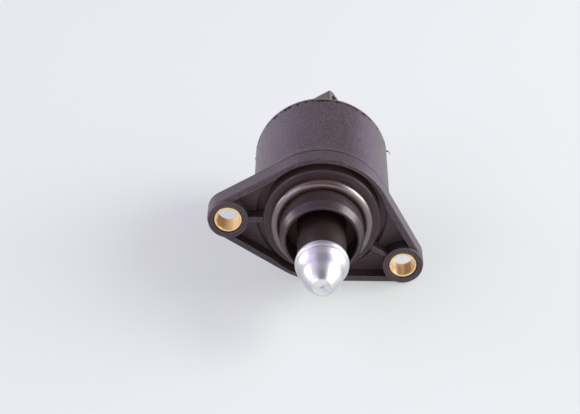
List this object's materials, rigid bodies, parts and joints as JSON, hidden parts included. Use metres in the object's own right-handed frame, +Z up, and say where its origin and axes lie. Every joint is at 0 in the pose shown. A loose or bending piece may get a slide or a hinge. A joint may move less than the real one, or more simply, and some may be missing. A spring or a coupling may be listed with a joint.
{
  "type": "idle air control valve",
  "caption": "Stepper idle air control valve with an eared bolt flange, ringed nose tube, sliding turned valve tip, round motor body and side-facing plug socket.",
  "frame": {"origin": "midway between the bolt holes, in the plane of the boss pads", "axes": "-Y along the nose towards the valve tip, +X to the right and +Z up as the valve lies"},
  "size_m": [0.0594, 0.0872, 0.0381],
  "materials": {
    "black_plastic": "fine-grained black glass-filled moulding",
    "stem_plastic": "smooth black moulding",
    "brass": "turned, slightly dulled",
    "rubber": "oiled sheen",
    "tip_aluminium": "fine turned",
    "steel": "pressed sheet",
    "screw_steel": "ground",
    "rotor_plastic": "natural moulding",
    "ferrite": "sintered, dull",
    "bronze": "sintered, oil-filled",
    "spool_plastic": "natural moulding",
    "copper": "enamelled winding",
    "tin": "tinned blade"
  },
  "bodies": {
    "housing": {"front_flange": "black_plastic", "flange_bush_left": "brass", "flange_bush_right": "brass", "nose_o_ring": "rubber", "motor_housing": "black_plastic", "rear_cover": "black_plastic", "front_bearing_bush": "bronze", "rear_bearing_bush": "bronze", "front_thrust_washer": "steel", "rear_thrust_washer": "steel", "front_outer_cup": "steel", "front_inner_cup": "steel", "rear_inner_cup": "steel", "rear_outer_cup": "steel", "front_bobbin": "spool_plastic", "rear_bobbin": "spool_plastic", "front_coil": "copper", "rear_coil": "copper", "terminal_pin_1": "tin", "terminal_pin_2": "tin", "terminal_pin_3": "tin", "terminal_pin_4": "tin"},
    "rotor": {"rotor_nut": "rotor_plastic", "rotor_magnet": "ferrite"},
    "pintle": {"valve_tip": "tip_aluminium", "plunger": "stem_plastic", "lead_screw": "screw_steel"}
  },
  "joints": [
    {"name": "rotor_spin", "type": "hinge", "parent": "housing", "child": "rotor", "pos_m": [0.00148, 0.026, 0.00642], "axis": [0, -1, 0], "range_deg": [-144, 2880]},
    {"name": "plunger_slide", "type": "slide", "parent": "housing", "child": "pintle", "axis": [0, -1, 0], "range_m": [-0.008, 0.0004]}
  ],
  "couplings": [
    {"joint": "rotor_spin", "follows": "plunger_slide", "rad_per_m": -6283.2}
  ]
}
